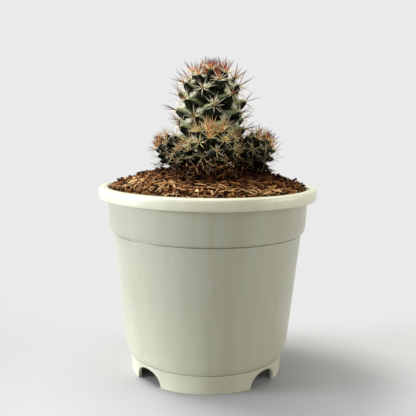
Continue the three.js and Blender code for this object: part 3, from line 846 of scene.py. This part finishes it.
def newest_spines(head, strands, draw):
    """The newest spines of all stand close together on the growing point."""
    crown = Vector(head.crown).normalized()
    side, above = across(crown)
    growing_point = Vector(head.centre) + crown * (head.up + 0.2 * head.wart)
    for _ in range(int(0.58 * head.crowded * head.radius)):
        out = outward(side, above, draw.uniform(0, tau))
        aside = draw.uniform(0, 0.3)
        root = growing_point + out * head.radius * aside - crown * head.radius * aside ** 2
        way = (crown + out * (aside + draw.uniform(-0.1, 0.3))).normalized()
        length = head.central_length * draw.uniform(0.5, 0.8)
        strands.grow(root, way, length, head.thickness * 1.3, shade=head.straw,
                     youth=head.blush * draw.uniform(0.8, 1))


def head_spines(name, seats, radial_horn, central_horn, draw):
    """Stars of pale radials and, standing out of each, a few longer amber centrals."""
    radials, centrals = Strands(), Strands()
    sound, gone = LOST_SPINES_Z
    for seat in seats:
        if seat.bare:
            continue
        worn = clamp((sound - seat.tip.z) / (sound - gone))
        radial_spines(name, seat, radials, worn, draw)
        central_spines(name, seat, centrals, worn, draw)
    newest_spines(HEADS[name], centrals, draw)
    settle(radials.piece(f"{name}_radial_spines", radial_horn), "cactus")
    settle(centrals.piece(f"{name}_central_spines", central_horn), "cactus")


def areole_felt(name, seats, material, draw):
    """A pad of short felt in every areole, thicker on young tubercles."""
    felt = Strands()
    for seat in seats:
        if seat.bare:
            continue
        side, above = across(seat.way)
        for _ in range(16 + int(20 * (1 - seat.age))):
            out = outward(side, above, draw.uniform(0, tau))
            root = seat.pit + out * seat.tip_radius * draw.uniform(0, 0.7)
            way = (seat.way + out * draw.uniform(0, 0.8)).normalized()
            felt.grow(root, way, draw.uniform(0.5, 1.1), 0.07, out * draw.uniform(-0.3, 0.3),
                      sides=3, pieces=2)
    settle(felt.piece(f"{name}_areole_felt", material), "cactus")


def axil_wool(name, seats, material, draw):
    """A tuft of loose wool in the axil on each tubercle's crown side."""
    tufts = Strands()
    triangles, rings = seat_rings(seats)
    axils = axil_places(seats, triangles)
    crown_way = Vector(HEADS[name].crown).normalized() + 0.6 * UP
    for seat, ring in zip(seats, rings):
        if seat.bare:
            continue
        axil, size = max((axils[number] for number in ring), key=crown_way.dot), seat.size
        out = (seat.way + 0.4 * crown_way.normalized()).normalized()
        side, above = across(out)
        for _ in range(int(15 * size * HEADS[name].woolly * (1 - 0.7 * seat.youth))):
            aside = outward(side, above, draw.uniform(0, tau))
            root = axil + out * 0.18 * size + aside * draw.uniform(0, 0.16) * size
            way = (out + aside * draw.uniform(0.0, 1.0)).normalized()
            length = size * draw.uniform(0.2, 0.46)
            tufts.grow(root, way, length, 0.17, aside * draw.uniform(-0.1, 0.15) * size, sides=3)
    settle(tufts.piece(f"{name}_axil_wool", material), "cactus")


def dry_spines(name, material, draw):
    """Old brown spines and scraps of husk caught round the foot of a head."""
    head, scraps = HEADS[name], Strands()
    for _ in range(int(6 * head.radius)):
        turn = draw.uniform(0, tau)
        out = Vector((cos(turn), sin(turn), 0))
        root = Vector(head.centre) + out * head.radius * draw.uniform(0.45, 0.85)
        root.z = soil_height(root.x, root.y) + draw.uniform(0, 5)
        way = (out * draw.uniform(0.2, 1) + Vector((-out.y, out.x, 0)) * draw.uniform(-1, 1)
               + UP * draw.uniform(-0.6, 0.5)).normalized()
        length = draw.uniform(2.5, 6)
        if over_soil(root + way * length) < -BED_DEPTH:
            continue
        scraps.grow(root, way, length, draw.uniform(0.1, 0.2), out * draw.uniform(-0.6, 0.6),
                    shade=draw.uniform(0.05, 0.5), blunt=0.3)
    settle(scraps.piece(f"{name}_dry_spines", material), "cactus")


# Where dead scraps have gathered between the heads: (middle, reach, how many, how pale).
LITTER = (((14.5, -7, 108), (3.5, 6, 9), 800, 0.2), ((-8, -12, 106), (5, 5, 7), 600, 0.2),
          ((26, -4, 103), (5, 4, 3), 260, 0.2), ((2, -26, 99), (12, 6, 3), 420, 0.2),
          ((14, -12, 121), (2.6, 2.2, 4.5), 60, 0.5), ((2, 4, 101), (20, 18, 3), 900, 0.2),
          ((0, -29, 102.5), (15, 4, 4), 420, 0.16), ((-13, -20, 101.5), (6, 5, 3), 160, 0.2),
          ((0, -29, 106), (16, 4, 6), 90, 0.7))


def litter(material, draw):
    """Dead spines, roots and scraps of husk, caught in the gaps between the heads."""
    scraps = Strands()
    for middle, reach, count, pale in LITTER:
        for _ in range(count):
            aside = Vector(max(-1, min(1, draw.gauss(0, 0.5))) * wide for wide in reach)
            root = Vector(middle) + aside
            if any(inside_stem(head, root, 0) for head in HEADS.values()):
                continue
            way = Vector(draw.gauss(0, 1) for _ in range(3)).normalized()
            length = draw.uniform(1.5, 4.5)
            if over_soil(root + way * length) < -BED_DEPTH:
                continue
            bend = Vector(draw.gauss(0, 0.5) for _ in range(3))
            scraps.grow(root, way, length, draw.uniform(0.08, 0.3 - 0.2 * pale), bend,
                        shade=draw.betavariate(4 * pale, 4 * (1 - pale)), blunt=0.3)
    settle(scraps.piece("dead_scraps", material), "soil")


# ---- chips


def mound_bumps(x, y):
    """Height of the crumbled surface over the smooth mound, in millimetres."""
    return (0.5 * sin(1.9 * x + 0.6 * y) * sin(1.3 * y - 0.8 * x)
            + 0.35 * sin(4.1 * x + 1.7) * sin(3.7 * y + 0.4))


def soil_mound(material):
    """The filling of husk below its loose chips, painted near black as the shade between them."""
    bottom = FOOT_HEIGHT + FLOOR + SOIL_GAP
    inset = WALL + SOIL_GAP
    wall = ((FOOT_TOP_RADIUS - WALL / 2 - SOIL_GAP, bottom),
            (WALL_FOOT_RADIUS - inset, WALL_FOOT_Z + SOIL_GAP),
            (WALL_TOP_RADIUS - inset, STEP_Z - WALL),
            (STEP_RADIUS + 0.2 - WALL, STEP_Z + 2 + SOIL_GAP),
            (UPPER_RADIUS - inset, POT_HEIGHT - LIP_HEIGHT))
    angles = [360 * k / BED_SIDES for k in range(BED_SIDES)]
    rings = [[around(angle, radius, height) for angle in angles] for radius, height in wall]
    for i in range(BED_RINGS, 0, -1):
        ring = [around(angle, SOIL_RADIUS * i / BED_RINGS, 0) for angle in angles]
        for point in ring:
            bump = mound_bumps(point.x, point.y) if i < BED_RINGS else 0.0
            point.z = soil_height(point.x, point.y) - BED_DEPTH + bump
        rings.append(ring)
    crest = Vector((0, 0, SOIL_CREST_Z - BED_DEPTH))
    corners, faces = lofted(Vector((0, 0, bottom)), rings, crest)
    settle(mesh_object("husk_filling", corners, faces, material,
                       attributes={"shade": [0.1] * len(corners)}), "soil", "soil")


def chip_forms(draw, count):
    """A few chopped strips, one unit long, with broken corners."""
    forms = []
    for _ in range(count):
        shape = bmesh.new()
        for _ in range(14):
            point = Vector(draw.uniform(-0.5, 0.5) for _ in range(3))
            along = copysign(abs(2 * point.x) ** 0.5 / 2, point.x)
            shape.verts.new((along, point.y * 0.28, point.z * 0.17))
        hull = bmesh.ops.convex_hull(shape, input=shape.verts)
        inner = {v for v in hull["geom_interior"] + hull["geom_unused"] if v.is_valid}
        bmesh.ops.delete(shape, geom=list(inner), context="VERTS")
        shape.verts.index_update()
        corners = np.array([tuple(v.co) for v in shape.verts])
        forms.append((corners, [tuple(v.index for v in face.verts) for face in shape.faces]))
        shape.free()
    return forms


def mound_place(draw, inner, outer):
    """A random place on the smooth mound, between two shares of its area."""
    radius = SOIL_RADIUS * sqrt(draw.uniform(inner, outer))
    place = around(draw.uniform(0, 360), radius, 0)
    place.z = soil_height(place.x, place.y)
    return place


def husk_tone(draw, place):
    """How pale a scrap of husk is, from 0 to 1: painted darker near the plant, as damp and as shade,
    towards the back as painted shade, and darkest under the heads as painted shade.
    """
    x, y = DAMP_AND_SHADE_MIDDLE
    near = (DAMP_AND_SHADE_REACH - hypot(place.x - x, (place.y - y) / 1.2)) / DAMP_AND_SHADE_EDGE
    # Darker near the plant, as damp and painted shade, and towards the back, as painted shade.
    damp_and_shade = clamp(max(near, (place.y + 5) / 13))
    beyond = min(hypot(place.x - head.centre[0], place.y - head.centre[1])
                 - head.radius for head in HEADS.values())
    # Painted shade: the chips under a head are darkest.
    shade_under_heads = clamp((-1 - beyond) / 5)
    return draw.betavariate(0.9, 0.9) * (1 - 0.65 * damp_and_shade) * (1 - 0.55 * shade_under_heads)


# Layers of chips: (height over the mound, how many, shortest, longest, how thick), in mm but
# for the last, which is a factor. The last layer is crumbs that stand out of the mound.
CHIP_LAYERS = ((-0.7, 2000, 2.6, 6.0, 1.0), (0.1, 2200, 2.2, 6.0, 1.0), (0.6, 240, 5.0, 8.0, 1.0),
               (1.9, 190, 1.8, 3.6, 2.8))
CHIP_TILT = 0.38


def husk_chips(material, draw):
    """Loose chips all over the mound, lying mostly flat, in layers, and kept off the lip."""
    forms = chip_forms(draw, 16)
    corners, faces, shade = [], [], []
    for layer, count, low, high, thick in CHIP_LAYERS:
        for _ in range(count):
            place = mound_place(draw, 0.01, 0.985)
            place.z += layer - 0.4 + draw.uniform(-0.5, 0.5)
            room = 2 * (LIP_INNER_RADIUS - 0.4 - place.xy.length) + 1.5
            length = min(draw.uniform(low, high), room)
            if any(inside_stem(head, place, -0.5) for head in HEADS.values()):
                continue
            tilt = Vector((draw.gauss(0, CHIP_TILT), draw.gauss(0, CHIP_TILT), 1)).normalized()
            turned = UP.rotation_difference(tilt) @ Quaternion(UP, draw.uniform(0, tau))
            size = (length, max(1.6, length) * draw.uniform(0.4, 1.1) * sqrt(thick),
                    length * draw.uniform(0.6, 1.4) * thick)
            form, form_faces = forms[draw.randrange(len(forms))]
            placed = (form * size) @ np.array(turned.to_matrix().transposed()) + np.array(place)
            over = np.hypot(placed[:, 0], placed[:, 1]) / (LIP_INNER_RADIUS - 0.15)
            placed[:, :2] /= np.maximum(1, over)[:, None]
            first = len(corners)
            corners.extend(placed.tolist())
            faces.extend(tuple(first + i for i in face) for face in form_faces)
            shade.extend([husk_tone(draw, place)] * len(placed))
    settle(mesh_object("husk_chips", corners, faces, material, smooth=False,
                       attributes={"shade": shade}), "soil")


def husk_fibres(material, draw):
    """Loose bristly fibres of the husk, lying over the chips and round the plant's base."""
    fibres = Strands()
    for _ in range(FIBRES):
        place = mound_place(draw, 0.02, 0.95)
        start_z = place.z
        place.z += draw.uniform(-0.3, 0.9)
        turn = draw.uniform(0, tau)
        way = Vector((cos(turn), sin(turn), draw.gauss(0.05, 0.16))).normalized()
        length = draw.uniform(2.5, 8)
        end = place + way * length
        if hypot(end.x, end.y) > LIP_INNER_RADIUS - 1:
            continue
        way.z += (soil_height(end.x, end.y) - start_z) / length
        way.normalize()
        aside = Vector((-sin(turn), cos(turn), 0)) * draw.gauss(0, 1.3)
        fibres.grow(place, way, length, draw.uniform(0.12, 0.42), aside - UP * 0.3, pieces=4,
                    blunt=0.35, shade=0.15 + 0.85 * husk_tone(draw, place))
    settle(fibres.piece("husk_fibres", material), "soil")


# ---- camera, light and floor

CAMERA_PLACE = (0.0, -312.7, 129.7)
CAMERA_DOWN = radians(8.38)
CAMERA_YAW = radians(0.03)
CAMERA_ROLL = radians(0.66)
LENS = 53.16
FLOOR_REACH = 60000

# How high one looks, as a sine, where the ceiling starts and where the walls end.
CEILING_FROM = 0.26
WALLS_UP_TO = 0.19


def camera():
    """Stands where the photo was taken from: the outline of the pot in it gives the place."""
    turned = (Matrix.Rotation(-CAMERA_YAW, 4, "Z") @ Matrix.Rotation(pi / 2 - CAMERA_DOWN, 4, "X")
              @ Matrix.Rotation(CAMERA_ROLL, 4, "Z"))
    data = bpy.data.cameras.new("camera")
    data.lens = LENS
    data.clip_start, data.clip_end = 0.01, 20
    made = in_scene("camera", data)
    made.matrix_world = Matrix.Translation(Vector(CAMERA_PLACE) * MM) @ turned
    bpy.context.scene.camera = made


def far_light(name, degrees, elevation, strength, spread, colour="#FFFFFF"):
    """A large softbox so far off that it lights the whole floor evenly.

    degrees is how far round from the front it stands, and spread how wide it looks.
    """
    data = bpy.data.lights.new(name, "SUN")
    data.energy = strength
    data.angle = radians(spread)
    data.color = linear(colour)[:3]
    to_it = around(degrees, cos(radians(elevation)), sin(radians(elevation)))
    in_scene(name, data).rotation_euler = (-to_it).to_track_quat("-Z", "Y").to_euler()


def pale_floor():
    """A wide floor of matt paper, with its grain drawn coarse: real paper fibre is too fine."""
    made, tree, shader, place = new_material("matt_paper")
    grain = add(tree, "TexNoise", {"Scale": per_mm(11)}, {"Vector": place})
    colour = add(tree, "ValToRGB", {"stops": [(0.3, "#ACABAA"), (0.7, "#ADADAB")]}, {"Fac": grain})
    feed(tree, shader, {"Roughness": 1.0, "Specular IOR Level": 0.0}, {"Base Color": colour})
    corners = [(x * FLOOR_REACH, y * FLOOR_REACH, 0) for x, y in ((-1, -1), (1, -1), (1, 1), (-1, 1))]
    mesh_object("paper_floor", corners, [(0, 1, 2, 3)], made)


def pale_room():
    """Pale walls that meet the floor at the horizon, under a dark ceiling."""
    world = bpy.data.worlds.new("pale_room")
    world.use_nodes = True
    tree = world.node_tree
    way = add(tree, "TexCoord").outputs["Generated"]
    walls = way_up(tree, way, CEILING_FROM, WALLS_UP_TO)
    colour = add(tree, "ValToRGB", {"stops": [(0.0, "#8C8C8C"), (1.0, "#EAEAEA")]}, {"Fac": walls})
    feed(tree, tree.nodes["Background"], links={"Color": colour})
    bpy.context.scene.world = world


def studio():
    pale_floor()
    pale_room()
    bpy.context.scene.view_settings.view_transform = "Standard"
    far_light("key_from_the_left", -120, 60, 2.6, 26)
    far_light("window_low_on_the_left", -82, 5, 7.8, 24, "#E9EFFF")
    far_light("window_low_on_the_right", 82, 10, 1.9, 40)
    far_light("overhead", -135, 82, 2.1, 50)


# ---- the plant in its pot

HUSK_BROWNS = [(0.0, "#040100"), (0.25, "#33190B"), (0.5, "#764926"), (0.75, "#B28350"),
               (1.0, "#D8B482")]


def plant(fibre):
    """All the heads, each with its own run of random draws."""
    skin = cactus_skin()
    pale_horn = horn(
        "radial_spine_horn",
        old=[(0.0, "#C98A34"), (0.12, "#F8EBC0"), (0.75, "#F4E8C8"), (1.0, "#A8987E")],
        straw=[(0.0, "#B87828"), (0.12, "#FFEE9C"), (0.7, "#FAEAA4"), (1.0, "#A08860")],
        young=[(0.0, "#F8E09A"), (0.4, "#F4C468"), (0.65, "#B8642A"), (1.0, "#3C2A26")])
    amber_horn = horn(
        "central_spine_horn",
        old=[(0.0, "#D9983C"), (0.22, "#A87444"), (0.5, "#6A5450"), (1.0, "#4A4450")],
        straw=[(0.0, "#D4903C"), (0.4, "#F2D684"), (0.8, "#B48C50"), (1.0, "#5C442E")],
        young=[(0.0, "#F6CC74"), (0.22, "#F29630"), (0.42, "#CC500E"), (0.66, "#6C2410"),
               (0.85, "#241418"), (1.0, "#1C1418")])
    felt = cactus_wool("areole_felt", "#B5A57C", "#DCD3B4")
    wool = cactus_wool("axil_wool", "#C6C3A0", "#ECE8CC")
    for number, name in enumerate(HEADS):
        draw = random.Random(100 + number)
        seats = spiral_seats(name)
        head_flesh(name, seats, skin, draw)
        head_neck(name, skin)
        head_spines(name, seats, pale_horn, amber_horn, draw)
        areole_felt(name, seats, felt, draw)
        axil_wool(name, seats, wool, draw)
        dry_spines(name, fibre, draw)


def build():
    pot_body(moulded_polypropylene())
    # The filling's near-black browns are painted shade between the chips.
    soil_mound(coconut_husk("coconut_husk_in_painted_shade", [(0.0, "#060201"), (1.0, "#241208")]))
    husk_chips(coconut_husk("coconut_husk_chips", HUSK_BROWNS), random.Random(11))
    fibre = coconut_husk("coconut_husk_fibres", HUSK_BROWNS, roughness=0.75)
    husk_fibres(fibre, random.Random(12))
    plant(fibre)
    litter(fibre, random.Random(13))


camera()
studio()
build()
